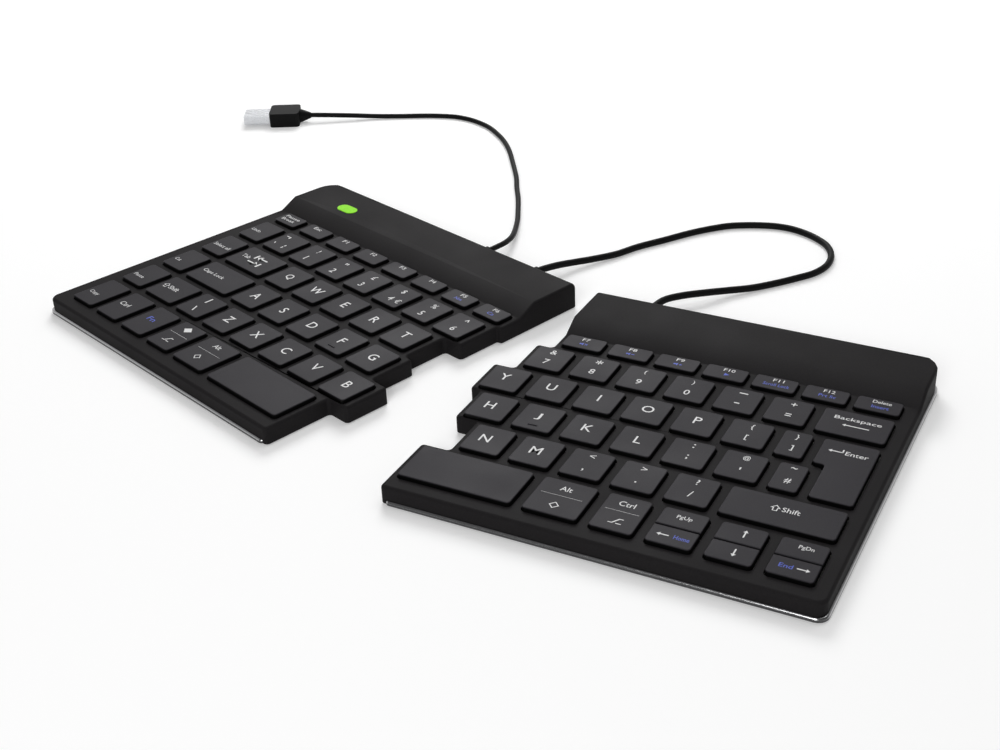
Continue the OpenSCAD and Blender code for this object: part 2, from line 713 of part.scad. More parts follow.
// Right half
module right_top_case() {
    color(case_colour) place(RIGHT) {
        case_shell(RIGHT) gland_hole(right_link_x);
        case_bosses(RIGHT);
    }
}
module right_base_plate() { color(rim_colour) place(RIGHT) base_plate(RIGHT); }
module right_switch_plate() { color(steel_colour) place(RIGHT) field_sheet(RIGHT, plate_top, membrane_z); }
module right_membrane() { color(film_colour) place(RIGHT) field_sheet(RIGHT, membrane_z, mechanism_z); }
module right_domes() { color(rubber_colour) place(RIGHT) domes(RIGHT); }
module right_scissors() { color(film_colour) place(RIGHT) scissors(RIGHT); }
module right_board() { color(board_colour) place(RIGHT) board(RIGHT, [right_link_x - board_d]); }
module right_feet() { color(rubber_colour) place(RIGHT) feet(RIGHT); }
module right_screws() { color(steel_colour) place(RIGHT) screws(RIGHT); }
module right_link_gland() { color(rubber_colour) place(RIGHT) gland(right_link_x, link_cable_d); }

// Keys of the left half
module left_function_keys() { keys(LEFT, 0, 2, 7); }
module left_number_keys() { keys(LEFT, 1, 1, 7); }
module left_upper_keys() { keys(LEFT, 2, 2, 6); }
module left_home_keys() { keys(LEFT, 3, 2, 6); }
module left_lower_keys() { keys(LEFT, 4, 2, 7); }
module left_shortcut_keys() { for (row = [FUNCTION_ROW:FRONT_ROW]) keys(LEFT, row, 0, 0); }
module esc_key() { keys(LEFT, 0, 1, 1); }
module tab_key() { keys(LEFT, 2, 1, 1); }
module caps_lock_key() { keys(LEFT, 3, 1, 1); }
module left_shift_key() { keys(LEFT, 4, 1, 1); }
module left_ctrl_key() { keys(LEFT, 5, 1, 1); }
module fn_key() { keys(LEFT, 5, 2, 2); }
module meta_key() { keys(LEFT, 5, 3, 3); }
module left_alt_key() { keys(LEFT, 5, 4, 4); }
module left_space_key() { keys(LEFT, 5, 5, 5); }

// Keys of the right half, counted from the outer edge
module right_function_keys() { keys(RIGHT, 0, 1, 6); }
module right_number_keys() { keys(RIGHT, 1, 1, 6); }
module right_upper_keys() { keys(RIGHT, 2, 1, 7); }
module right_home_keys() { keys(RIGHT, 3, 1, 7); }
module right_lower_keys() { keys(RIGHT, 4, 1, 5); }
module delete_key() { keys(RIGHT, 0, 0, 0); }
module backspace_key() { keys(RIGHT, 1, 0, 0); }
module enter_key() {
    color(key_colour) place(RIGHT)
        cap(enter_corners(0, key_corner_r),
            enter_corners(-key_skirt_t, max(key_corner_r - key_skirt_t, least_r)));
}
module right_shift_key() { keys(RIGHT, 4, 0, 0); }
module right_ctrl_key() { keys(RIGHT, 5, 3, 3); }
module right_alt_key() { keys(RIGHT, 5, 4, 4); }
module right_space_key() { keys(RIGHT, 5, 5, 5); }
module page_down_key() { half_key(0, true); }
module arrow_right_key() { half_key(0, false); }
module arrow_up_key() { half_key(1, true); }
module arrow_down_key() { half_key(1, false); }
module page_up_key() { half_key(2, true); }
module arrow_left_key() { half_key(2, false); }

left_top_case();
left_base_plate();
left_switch_plate();
left_membrane();
left_domes();
left_scissors();
left_main_board();
left_feet();
left_screws();
status_light();
usb_gland();
left_link_gland();
usb_cable();
usb_plug_body();
usb_plug_shell();
usb_plug_tongue();
link_cable();
right_top_case();
right_base_plate();
right_switch_plate();
right_membrane();
right_domes();
right_scissors();
right_board();
right_feet();
right_screws();
right_link_gland();
left_function_keys();
left_number_keys();
left_upper_keys();
left_home_keys();
left_lower_keys();
left_shortcut_keys();
right_function_keys();
right_number_keys();
right_upper_keys();
right_home_keys();
right_lower_keys();
esc_key();
tab_key();
caps_lock_key();
left_shift_key();
left_ctrl_key();
fn_key();
meta_key();
left_alt_key();
left_space_key();
delete_key();
backspace_key();
enter_key();
right_shift_key();
right_space_key();
right_alt_key();
right_ctrl_key();
page_up_key();
arrow_left_key();
arrow_up_key();
arrow_down_key();
page_down_key();
arrow_right_key();
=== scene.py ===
"""Looks of the split keyboard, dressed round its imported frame. Sizes in metres."""

from functools import cache
from math import pi, radians

import bmesh
import bpy
from mathutils import Matrix, Vector
from mathutils.geometry import interpolate_bezier


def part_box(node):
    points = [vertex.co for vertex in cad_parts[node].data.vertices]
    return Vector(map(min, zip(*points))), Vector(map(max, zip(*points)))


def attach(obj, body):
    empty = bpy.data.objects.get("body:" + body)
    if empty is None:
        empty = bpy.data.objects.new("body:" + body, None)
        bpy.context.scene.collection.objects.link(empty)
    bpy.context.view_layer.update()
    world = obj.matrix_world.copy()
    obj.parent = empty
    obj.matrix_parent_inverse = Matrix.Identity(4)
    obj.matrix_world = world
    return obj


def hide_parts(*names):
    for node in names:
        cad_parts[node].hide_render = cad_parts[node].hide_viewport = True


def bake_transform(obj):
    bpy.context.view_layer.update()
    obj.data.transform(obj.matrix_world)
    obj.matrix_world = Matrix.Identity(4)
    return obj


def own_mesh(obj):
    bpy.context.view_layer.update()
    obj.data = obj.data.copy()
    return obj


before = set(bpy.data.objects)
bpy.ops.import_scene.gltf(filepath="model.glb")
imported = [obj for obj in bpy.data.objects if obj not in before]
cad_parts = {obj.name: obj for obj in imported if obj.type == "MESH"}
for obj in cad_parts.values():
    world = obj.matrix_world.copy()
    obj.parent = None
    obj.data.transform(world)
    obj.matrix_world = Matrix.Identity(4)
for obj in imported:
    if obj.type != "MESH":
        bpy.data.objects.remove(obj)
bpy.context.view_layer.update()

bl_info = {
    "name": "Split Keyboard Looks",
    "version": (1, 0, 0),
    "blender": (4, 5, 0),
    "location": "View3D > Sidebar > Keyboard",
    "description": "Dresses the packed split keyboard with its finishes, legends, cables and stage",
    "category": "Object",
}

MM = 0.001
# Distances that count as nothing: doubles that are merged, points on one level, and points on a cut
MERGE = 1e-6
LEVEL = 1e-5
ON_CUT = 1e-7
# Key rows are told apart to this many digits of a metre
ROW_DIGITS = 4
# A face whose normal rises less than this is a wall
UPRIGHT = 0.1
# Faces within this angle are joined into one, in degrees
FLAT_ANGLE = 0.5
# Edges of the case stay sharp this near to a key opening, beside the lens or a gland, and above these
KEY_REACH = 0.0008
FITTING_REACH = 0.001
GLAND_CLEAR = 0.0003
# Edges of the case that are less than this above the switch plate stay sharp
ABOVE_PLATE = 0.002
BEVEL = {"affect": "EDGES", "profile": 0.5, "material": -1, "clamp_overlap": False}

# Each half is turned about the upright axis; its keys read from left to right along its own x
HALF_TURN = {"left": radians(-9.5), "right": radians(9.5)}
SIDES = ("left", "right")

# Cable routes from the part's source, in millimetres
USB_ROUTE = (
    (-53.48, 78.61, 5.5), (-52.98, 81.57, 5.5), (-53, 90.5, 4.85), (-55.5, 99, 3.85), (-61, 109, 2.45),
    (-67.5, 119.5, 1.55), (-74.5, 129.5, 1.25), (-82.5, 140.5, 1.25), (-91, 151, 1.25), (-99, 161.5, 1.25),
    (-111, 175, 1.25), (-122.5, 187.5, 1.25), (-133, 197, 1.25), (-143, 204, 1.25), (-153, 209.5, 1.25),
    (-163.5, 212.5, 1.25), (-172, 213, 1.25), (-180, 211.5, 1.25), (-191, 206, 1.25), (-203.5, 197.5, 1.25),
    (-215, 189, 1.65), (-225.5, 180.5, 2.65), (-240.6, 168.31, 3.8), (-243, 166.5, 3.8))
LINK_ROUTE = (
    (-22.9, 73.49, 5.5), (-22.41, 76.45, 5.5), (-20.5, 85, 4.4), (-17.5, 93, 3.3), (-13, 102.5, 2.3),
    (-8, 113, 1.7), (-4, 125, 1.5), (2, 137, 1.5), (8, 149.5, 1.5), (13, 158, 1.5), (19, 166, 1.5),
    (25, 171, 1.5), (31.5, 175, 1.5), (38.5, 178, 1.5), (45.5, 179, 1.5), (53, 178, 1.5), (60, 175.5, 1.5),
    (66.5, 171.5, 1.5), (71.5, 165.5, 1.5), (74.5, 158.5, 1.5), (75.5, 151, 1.5), (74, 143, 1.5),
    (70, 135, 1.5), (64.5, 125.5, 1.5), (58.5, 116, 1.8), (52, 107, 2.7), (46.5, 98, 4.0),
    (40.5, 89.5, 4.7), (36.8, 81.5, 5.3), (36.22, 74.76, 5.5), (36.71, 71.8, 5.5))

# The photograph's camera
CAMERA_PLACE = (0.31276, -0.38455, 0.28662)
CAMERA_RIGHT = (0.82057, 0.57125, -0.01858)
CAMERA_DOWN = (0.27597, -0.42447, -0.86236)
CAMERA_AHEAD = (-0.50052, 0.70249, -0.50596)
CAMERA_LENS = 52.741
CAMERA_SHIFT = -0.0575
SENSOR_WIDTH = 36
CLIP_START = 0.01

# Place, size in metres and power in watts of each lamp
LAMPS = {
    "Key lamp": ((-0.65, 0.85, 0.90), 0.7, 10.5),
    "Overhead lamp": ((0.15, 0.50, 1.1), 0.7, 2.2),
    "Front lamp": ((0.34, -1.0, 0.60), 0.5, 5.0),
}
# The floor's size and grey, and how much it is lifted to white: near and far distance, near and far lift
FLOOR_SIZE = 6.0
FLOOR_GREY = (0.86, 0.86, 0.86, 1)
FLOOR_LIFT = (0.5, 1.8, 0.22, 1.0)
# The world's own light, and what a reflection sees: which way it darkens, from and to, bright and dark
WORLD_LEVEL = 0.28
WORLD_LEAN = (0.5, -0.4, 1.0)
WORLD_SEEN = (-0.1, 0.4, 0.8, 0.12)
WHITE = (1, 1, 1, 1)

# Colours of the inner and small pieces
RUBBER = (0.007, 0.007, 0.007)
FILM = (0.55, 0.55, 0.50)
STEEL = (0.55, 0.56, 0.58)
BOARD = (0.015, 0.10, 0.045)

# Part of a pattern's range that sets its tint, and that sets its roughness
TINT_RANGE = (0.35, 0.75)
SHINE_RANGE = (0.3, 0.7)
# How often the scratches of brushed metal repeat in a metre, along and across
SCRATCHES = (60.0, 4000.0, 4000.0)
# How far below a key's top the black painted shade of its sides gives way to its grey, and where the grey is
# full
KEY_SIDE_SHADE = (0.00040, 0.00012)
# Depth over which the bright cut fades into the plate
CUT_FADE = 0.00005
# Rounding of a homing bar's upper edges, as a share of its height
BAR_ROUND = 0.6

# Legends, in millimetres: a letter's height, and how much wider than drawn it is where no width is given
LETTER_HEIGHT = 4.3
LETTER_STRETCH = 1.02
# Two signs on a key: from their middle to each one, and the height of the rear and of the front one
PAIR_REACH, PAIR_REAR, PAIR_FRONT = 3.6, 3.0, 3.4
# Function row: place and height of the white name, and of the blue one in front of it
NAME_ALONG, NAME_HEIGHT = 2.2, 2.0
BLUE_ALONG, BLUE_HEIGHT = -1.1, 1.9
# The thin rule of a split legend
RULE_ALONG, RULE_WIDTH = 1.0, 0.11
# Arrows: length and width of the head, and width of the shaft
HEAD_LENGTH, HEAD_WIDTH, SHAFT_WIDTH = 1.2, 1.7, 0.5

LEFT_KEYS = ("left_shortcut_keys", "esc_key", "left_function_keys", "left_number_keys", "tab_key",
             "left_upper_keys", "caps_lock_key", "left_home_keys", "left_shift_key", "left_lower_keys",
             "left_ctrl_key", "fn_key", "meta_key", "left_alt_key", "left_space_key")
RIGHT_KEYS = ("right_function_keys", "delete_key", "right_number_keys", "backspace_key",
              "right_upper_keys", "right_home_keys", "enter_key", "right_lower_keys", "right_shift_key",
              "right_space_key", "right_alt_key", "right_ctrl_key", "page_up_key", "arrow_left_key",
              "arrow_up_key", "arrow_down_key", "page_down_key", "arrow_right_key")
KEYS = {"left": LEFT_KEYS, "right": RIGHT_KEYS}


def word(text, across, along, width, height, ink="white", weight=1.0):
    """A printed word or sign: its centre from the key's centre, its width and its height, in mm.

    A width of None keeps the letter's own.
    """
    return {"text": text, "across": across, "along": along, "width": width, "height": height, "ink": ink,
            "weight": weight}


def line(across, along, length, width, turn=0.0, ink="white"):
    """A printed line: centre from the key's centre, length and width in mm, and its turn."""
    return {"across": across, "along": along, "length": length, "line": width, "turn": turn, "ink": ink}


def letter(text, across, along, width=None):
    return [word(text, across, along, width, LETTER_HEIGHT)]


def pair(upper, lower, across, along):
    """Two signs, one behind the other; along is the middle between them."""
    return [word(upper, across, along + PAIR_REACH, None, PAIR_REAR),
            word(lower, across, along - PAIR_REACH, None, PAIR_FRONT)]


def function_key(text, across, width, blue=None, blue_width=None):
    name = [word(text, across, NAME_ALONG, width, NAME_HEIGHT)]
    return name + ([word(blue, across, BLUE_ALONG, blue_width, BLUE_HEIGHT, "blue")] if blue else [])


def speaker(across, level):
    """A small blue loudspeaker sign with what stands beside it."""
    sign = [line(across - 1.3, BLUE_ALONG, 0.7, 0.9, 0, "blue"),
            word("◀", across - 0.6, BLUE_ALONG, 1.1, BLUE_HEIGHT, "blue")]
    if level == "-":
        return sign + [line(across + 1.1, BLUE_ALONG, 1.3, 0.4, 0, "blue")]
    return sign + [word(level, across + 1.1, BLUE_ALONG, 1.3, 1.3, "blue")]


def split_legend(upper, lower, length):
    """Two legends with a thin rule between them."""
    return [upper, line(0, RULE_ALONG, length, RULE_WIDTH), lower]


def arrow(across, along, direction, length=4.2):
    """A printed arrow made of a thin shaft and a short broad head."""
    head = {"left": "◀", "right": "▶", "up": "▲", "down": "▼"}[direction]
    step = {"left": (-1, 0), "right": (1, 0), "up": (0, 1), "down": (0, -1)}[direction]
    upright = step[0] == 0
    back, tip = HEAD_LENGTH / 2, length / 2 - HEAD_LENGTH / 2
    turn = pi / 2 if upright else 0
    head_size = (HEAD_WIDTH, HEAD_LENGTH) if upright else (HEAD_LENGTH, HEAD_WIDTH)
    return [line(across - step[0] * back, along - step[1] * back, length - HEAD_LENGTH, SHAFT_WIDTH, turn),
            word(head, across + step[0] * tip, along + step[1] * tip, *head_size)]


# Legends of each key node, one list for each key from left to right (from rear to front in the column)
LEGENDS = {
    "left_shortcut_keys": [
        [word("Pause", -0.6, 1.9, 9.4, 1.8, weight=0), word("Break", -0.8, -0.9, 8.6, 1.8, weight=0)],
        [word("Undo", -2.8, -0.8, 6.0, 1.9, weight=0)], [word("Select all", -0.2, -1.2, 11.0, 2.1, weight=0)],
        [word("Cut", -3.4, -1.8, 3.8, 1.9, weight=0)], [word("Paste", -2.2, -2.2, 6.6, 1.9, weight=0)],
        [word("Copy", -2.0, -2.4, 6.2, 2.4, weight=0)]],
    "esc_key": [[word("Esc", -1.2, 2.2, 4.8, 2.0)]],
    "left_function_keys": [function_key("F1", -0.5, 3.1), function_key("F2", -0.3, 3.2),
                           function_key("F3", -0.1, 3.1), function_key("F4", 0.1, 3.1),
                           function_key("F5", 0.3, 3.1, "Nm", 3.8), function_key("F6", 0.4, 3.1, "Ca", 3.6)],
    "left_number_keys": [
        [word("¬", -4.0, 4.1, 3.0, 1.5), word("`", -4.4, -3.0, 1.1, 1.2), word("¦", 2.2, -3.2, 0.6, 3.2)],
        pair("!", "1", -0.4, 0.4), [word('"', -0.4, 4.6, 1.7, 1.5), word("2", -0.4, -3.2, None, 3.4)],
        pair("£", "3", -0.2, 0.4),
        [word("$", 0.0, 4.1, None, 3.3), word("4", 0.0, -3.2, None, 3.4), word("€", 4.4, -3.2, None, 3.1)],
        pair("%", "5", 0.2, 0.4), [word("^", 0.4, 4.7, 2.1, 1.7), word("6", 0.4, -3.2, None, 3.4)]],
    "tab_key": [[word("Tab", -7.0, 0.1, 5.2, 2.3), word("⇤", 1.0, 2.4, 8.0, 3.6, weight=2.5),
                 word("⇥", 1.0, -2.2, 8.0, 3.6, weight=2.5)]],
    "left_upper_keys": [letter(c, -0.2, 0.3) for c in "QWERT"],
    "caps_lock_key": [[word("Caps Lock", -4.9, 0.0, 14.2, 2.6)]],
    "left_home_keys": [letter(c, 0.0, 0.3) for c in "ASDFG"],
    "left_shift_key": [[word("⇧", -5.8, 0.6, 3.6, 3.3, weight=0.3), word("Shift", -0.4, 0.6, 6.2, 2.5)]],
    "left_lower_keys": [[word("|", -0.9, 4.2, 0.7, 4.0), word("\\", -0.1, -3.4, 2.1, 3.4)]]
                       + [letter(c, -0.1, 0.6) for c in "ZXCVB"],
    "left_ctrl_key": [[word("Ctrl", -1.4, 0.8, 5.9, 2.5)]],
    "fn_key": [[word("Fn", -0.6, 1.0, 4.6, 2.7, "blue")]],
    "meta_key": [split_legend(word("◆", -0.2, 5.5, 4.6, 4.0), word("⎇", -0.2, -3.9, 4.4, 2.8), 11.5)],
    "left_alt_key": [split_legend(word("Alt", -0.7, 5.6, 4.3, 2.4), word("◇", -0.6, -3.9, 3.5, 3.5), 14.0)],
    "left_space_key": [[]],
    "right_function_keys": [
        function_key("F7", -0.2, 3.0) + speaker(0.0, "×"), function_key("F8", 0.3, 3.1) + speaker(0.3, "-"),
        function_key("F9", 0.5, 3.1) + speaker(0.5, "+"), function_key("F10", 0.8, 4.4, "▶", 2.0),
        function_key("F11", 0.7, 4.2, "Scroll Lock", 10.0), function_key("F12", 0.7, 4.3, "Prt Sc", 6.4)],
    "delete_key": [[word("Delete", 0.8, 2.2, 6.9, 2.0), word("Insert", 0.8, -1.2, 6.3, 2.0, "blue")]],
    "right_number_keys": [
        pair("&", "7", -0.2, 1.1), pair("*", "8", -0.1, 1.1), pair("(", "9", -0.2, 1.1),
        pair(")", "0", -0.1, 1.1),
        [line(0.4, 4.9, 3.2, 0.6), line(0.1, -2.3, 2.0, 0.6)],
        [word("+", 0.5, 4.8, 2.3, 2.3), word("=", 0.5, -2.6, 2.2, 1.8)]],
    "backspace_key": [[word("Backspace", 0.4, 2.8, 17.0, 2.8)] + arrow(0.6, -1.2, "left", 9.6)],
    "right_upper_keys": [letter(c, x, 0.9) for c, x in zip("YUIOP", (-0.7, -0.5, -0.2, 0.0, 0.0))] + [
        [word("{", 0.2, 4.4, 1.1, 3.5), word("[", 0.2, -2.7, 1.0, 3.5)],
        [word("}", 0.1, 4.4, 1.1, 3.5), word("]", 0.1, -2.7, 1.0, 3.5)]],
    "right_home_keys": [letter("H", -0.9, 0.7), letter("J", -0.5, 0.7, 2.2), letter("K", -0.3, 0.7),
                        letter("L", 0.0, 0.7)] + [
        [word(":", 0.2, 4.9, 0.7, 2.5), word(";", 0.3, -2.4, 0.7, 3.0)],
        [word("@", 0.3, 4.9, 2.6, 2.9), word("'", 0.2, -1.8, 0.6, 1.5)],
        [word("~", 0.3, 5.6, 2.2, 1.0), word("#", 0.4, -2.4, 2.3, 3.1)]],
    "enter_key": [arrow(-4.2, 11.3, "left", 5.2)
                  + [line(-1.8, 12.1, 0.55, 2.0), word("Enter", 3.2, 11.3, 8.0, 2.4)]],
    "right_lower_keys": [letter("N", -1.2, 0.4), letter("M", -0.6, 0.5)] + [
        [word("<", -0.1, 4.9, 2.1, 2.1), word(",", -0.2, -3.8, 0.7, 1.5)],
        [word(">", 0.0, 4.9, 2.1, 2.1), word(".", 0.0, -3.3, 0.7, 0.8)], pair("?", "/", 0.2, 1.2)],
    "right_shift_key": [[word("⇧", -2.9, 1.4, 3.6, 3.3, weight=0.3), word("Shift", 2.4, 1.4, 6.1, 2.5)]],
    "right_space_key": [[]],
    "right_alt_key": [split_legend(word("Alt", 0.0, 5.1, 4.3, 2.5), word("◇", -0.2, -4.5, 3.7, 3.7), 15.0)],
    "right_ctrl_key": [
        split_legend(word("Ctrl", 0.2, 5.2, 5.7, 2.6), word("⎇", 0.1, -4.4, 4.6, 2.9), 12.0)],
    "page_up_key": [[word("PgUp", 0.3, 0.6, 5.3, 2.4)]],
    "arrow_left_key": [arrow(-3.1, 0.0, "left", 4.2) + [word("Home", 3.3, 0.0, 5.3, 2.0, "blue")]],
    "arrow_up_key": [arrow(0.8, 0.6, "up", 3.9)],
    "arrow_down_key": [arrow(0.8, 0.1, "down", 3.9)],
    "page_down_key": [[word("PgDn", 0.9, 1.0, 5.0, 2.4)]],
    "arrow_right_key": [[word("End", -2.4, 0.3, 4.5, 2.0, "blue")] + arrow(3.2, 0.3, "right", 4.2)],
}
# Keys with a homing bar, counted from the left in their row
HOMING_KEYS = {"left_home_keys": 3, "right_home_keys": 1}


class KeyboardSizes(bpy.types.PropertyGroup):
    """Sizes that a user would change."""
    usb_cable_d: bpy.props.FloatProperty(
        name="Host cable diameter", description="Diameter of the host cable", default=0.0025, unit="LENGTH")
    link_cable_d: bpy.props.FloatProperty(
        name="Link cable diameter", description="Diameter of the link cable", default=0.003, unit="LENGTH")
    usb_length: bpy.props.FloatProperty(
        name="Host cable length", description="From the gland's nose to the plug",
        default=0.276, unit="LENGTH")
    link_length: bpy.props.FloatProperty(
        name="Link cable length", description="From the left gland to the right one",
        default=0.269, unit="LENGTH")
    case_round: bpy.props.FloatProperty(
        name="Case edge", description="Rounding of the case's outer edges", default=0.0012, unit="LENGTH")
    key_round: bpy.props.FloatProperty(
        name="Key edge", description="Rounding of a key's upper edge", default=0.00035, unit="LENGTH")
    key_travel: bpy.props.FloatProperty(
        name="Key travel", description="How far a key goes down", default=0.0016, unit="LENGTH")
    rim_cut: bpy.props.FloatProperty(
        name="Rim cut", description="Width of the bright cut along the base plate",
        default=0.0007, unit="LENGTH")
    print_lift: bpy.props.FloatProperty(
        name="Print lift", description="How far the print lies above a key", default=0.00002, unit="LENGTH")
    print_weight: bpy.props.FloatProperty(
        name="Print weight", description="How far a letter's strokes are widened, for letters one unit high",
        default=0.005)
    bar_length: bpy.props.FloatProperty(
        name="Homing bar length", description="Length of the bar on F and J", default=0.0036, unit="LENGTH")
    bar_width: bpy.props.FloatProperty(
        name="Homing bar width", description="Width of the bar on F and J", default=0.0006, unit="LENGTH")
    bar_height: bpy.props.FloatProperty(
        name="Homing bar height", description="Height of the bar on F and J", default=0.0003, unit="LENGTH")
    bar_forward: bpy.props.FloatProperty(
        name="Homing bar place", description="From the key's centre to the bar",
        default=0.0052, unit="LENGTH")


class KeyboardColours(bpy.types.PropertyGroup):
    """Colours that a user would change."""
    case: bpy.props.FloatVectorProperty(
        name="Case", description="Black of the case", default=(0.0150, 0.0140, 0.0147), subtype="COLOR")
    key: bpy.props.FloatVectorProperty(
        name="Keys", description="Dark grey of the key tops",
        default=(0.0285, 0.0268, 0.0308), subtype="COLOR")
    # Painted shade: the key sides are coloured black for the shade of the gap round each key
    painted_side_shade: bpy.props.FloatVectorProperty(
        name="Key sides", description="Black painted shade down the key sides",
        default=(0.0025, 0.0025, 0.0025), subtype="COLOR")
    print_white: bpy.props.FloatVectorProperty(
        name="White print", description="White of the legends", default=(0.74, 0.74, 0.74), subtype="COLOR")
    print_blue: bpy.props.FloatVectorProperty(
        name="Blue print", description="Blue of the second legends",
        default=(0.075, 0.115, 0.55), subtype="COLOR")
    plate: bpy.props.FloatVectorProperty(
        name="Base plate", description="Dark grey of the base plate",
        default=(0.045, 0.045, 0.047), subtype="COLOR")
    cut: bpy.props.FloatVectorProperty(
        name="Rim cut", description="Bright metal of the rim", default=(0.45, 0.45, 0.46), subtype="COLOR")
    light: bpy.props.FloatVectorProperty(
        name="Status light", description="Green of the lit lens",
        default=(0.19, 0.56, 0.006), subtype="COLOR")
    cable: bpy.props.FloatVectorProperty(
        name="Cables", description="Black of the sheath", default=(0.006, 0.006, 0.0062), subtype="COLOR")


def sizes():
    return bpy.context.scene.keyboard_sizes


def colours():
    return bpy.context.scene.keyboard_colours


# Shader groups and finishes

def group(name, inputs, outputs):
    """A new shader node group with its named sockets and its two end nodes."""
    tree = bpy.data.node_groups.new(name, "ShaderNodeTree")
    for socket, kind, value in inputs:
        made = tree.interface.new_socket(socket, in_out="INPUT", socket_type=kind)
        made.default_value = value
    for socket, kind in outputs:
        tree.interface.new_socket(socket, in_out="OUTPUT", socket_type=kind)
    return tree, tree.nodes.new("NodeGroupInput"), tree.nodes.new("NodeGroupOutput")


def feed(tree, value, socket):
    """Link another node's socket, or set a plain value on the socket itself."""
    if isinstance(value, bpy.types.NodeSocket):
        tree.links.new(value, socket)
    else:
        socket.default_value = value


def mix_colour(tree, factor, first, second):
    node = tree.nodes.new("ShaderNodeMix")
    node.data_type = "RGBA"
    for socket, value in (("Factor", factor), ("A", first), ("B", second)):
        feed(tree, value, [s for s in node.inputs if s.name == socket and s.enabled][0])
    return [s for s in node.outputs if s.enabled][0]


def map_range(tree, value, low, high, to_low, to_high):
    node = tree.nodes.new("ShaderNodeMapRange")
    tree.links.new(value, node.inputs["Value"])
    for socket, given in (("From Min", low), ("From Max", high), ("To Min", to_low), ("To Max", to_high)):
        feed(tree, given, node.inputs[socket])
    return node.outputs["Result"]


def noise(tree, vector, scale, detail):
    node = tree.nodes.new("ShaderNodeTexNoise")
    tree.links.new(vector, node.inputs["Vector"])
    feed(tree, scale, node.inputs["Scale"])
    node.inputs["Detail"].default_value = detail
    return node.outputs["Fac"]


def object_place(tree):
    return tree.nodes.new("ShaderNodeTexCoord").outputs["Object"]


def grain_group():
    """Fine moulded grain over faint, wide smudges."""
    tree, given, out = group(
        "Moulded grain",
        [("Colour", "NodeSocketColor", (0.5, 0.5, 0.5, 1)), ("Pale", "NodeSocketColor", (0.6, 0.6, 0.6, 1)),
         ("Grain", "NodeSocketFloat", 3000.0), ("Smudge", "NodeSocketFloat", 35.0),
         ("Smooth", "NodeSocketFloat", 0.4), ("Rough", "NodeSocketFloat", 0.6)],
        [("Colour", "NodeSocketColor"), ("Roughness", "NodeSocketFloat"), ("Height", "NodeSocketFloat")])
    place = object_place(tree)
    fine = noise(tree, place, given.outputs["Grain"], 3)
    wide = noise(tree, place, given.outputs["Smudge"], 4)
    tint = map_range(tree, fine, *TINT_RANGE, 0.0, 1.0)
    mixed = mix_colour(tree, tint, given.outputs["Colour"], given.outputs["Pale"])
    tree.links.new(mixed, out.inputs["Colour"])
    shine = map_range(tree, wide, *SHINE_RANGE, given.outputs["Smooth"], given.outputs["Rough"])
    tree.links.new(shine, out.inputs["Roughness"])
    tree.links.new(fine, out.inputs["Height"])
    return tree


def level_group():
    """A mask that is one above a level of the piece and nought below it."""
    tree, given, out = group(
        "Above level", [("Low", "NodeSocketFloat", 0.0), ("High", "NodeSocketFloat", 0.001)],
        [("Mask", "NodeSocketFloat")])
    parts = tree.nodes.new("ShaderNodeSeparateXYZ")
    tree.links.new(object_place(tree), parts.inputs["Vector"])
    mask = map_range(tree, parts.outputs["Z"], given.outputs["Low"], given.outputs["High"], 0.0, 1.0)
    tree.links.new(mask, out.inputs["Mask"])
    return tree


def brushed_group():
    """Fine parallel scratches of brushed metal."""
    tree, given, out = group(
        "Brushed metal",
        [("Colour", "NodeSocketColor", (0.6, 0.6, 0.6, 1)), ("Pale", "NodeSocketColor", (0.7, 0.7, 0.7, 1)),
         ("Smooth", "NodeSocketFloat", 0.2), ("Rough", "NodeSocketFloat", 0.4)],
        [("Colour", "NodeSocketColor"), ("Roughness", "NodeSocketFloat"), ("Height", "NodeSocketFloat")])
    stretch = tree.nodes.new("ShaderNodeMapping")
    stretch.inputs["Scale"].default_value = SCRATCHES
    tree.links.new(object_place(tree), stretch.inputs["Vector"])
    lines = noise(tree, stretch.outputs["Vector"], 1.0, 2)
    mixed = mix_colour(tree, lines, given.outputs["Colour"], given.outputs["Pale"])
    tree.links.new(mixed, out.inputs["Colour"])
    shine = map_range(tree, lines, *SHINE_RANGE, given.outputs["Smooth"], given.outputs["Rough"])
    tree.links.new(shine, out.inputs["Roughness"])
    tree.links.new(lines, out.inputs["Height"])
    return tree


GROUP_MAKERS = {"Moulded grain": grain_group, "Above level": level_group, "Brushed metal": brushed_group}


def use_group(tree, name, **values):
    node = tree.nodes.new("ShaderNodeGroup")
    node.node_tree = bpy.data.node_groups.get(name) or GROUP_MAKERS[name]()
    for socket, value in values.items():
        node.inputs[socket].default_value = value
    return node


def rgba(colour, times=1.0):
    return (colour[0] * times, colour[1] * times, colour[2] * times, 1.0)


def new_finish(name):
    """A material with its Principled shader."""
    material = bpy.data.materials.new(name)
    material.use_nodes = True
    return material, material.node_tree, material.node_tree.nodes["Principled BSDF"]


def link_surface(tree, shader, pattern, bump):
    """Feed a pattern's roughness and height to the shader; bump is the relief's strength and depth."""
    tree.links.new(pattern.outputs["Roughness"], shader.inputs["Roughness"])
    relief = tree.nodes.new("ShaderNodeBump")
    relief.inputs["Strength"].default_value = bump[0]
    relief.inputs["Distance"].default_value = bump[1]
    tree.links.new(pattern.outputs["Height"], relief.inputs["Height"])
    tree.links.new(relief.outputs["Normal"], shader.inputs["Normal"])


def moulded(name, colour, pale=1.25, grain=2600.0, rough=(0.5, 0.6), bump=(0.15, 0.00004), specular=0.5):
    """A moulded plastic or rubber finish, made once."""
    if name in bpy.data.materials:
        return bpy.data.materials[name]
    material, tree, shader = new_finish(name)
    pattern = use_group(tree, "Moulded grain", Colour=rgba(colour), Pale=rgba(colour, pale), Grain=grain,
                        Smooth=rough[0], Rough=rough[1])
    tree.links.new(pattern.outputs["Colour"], shader.inputs["Base Color"])
    shader.inputs["Specular IOR Level"].default_value = specular
    link_surface(tree, shader, pattern, bump)
    return material


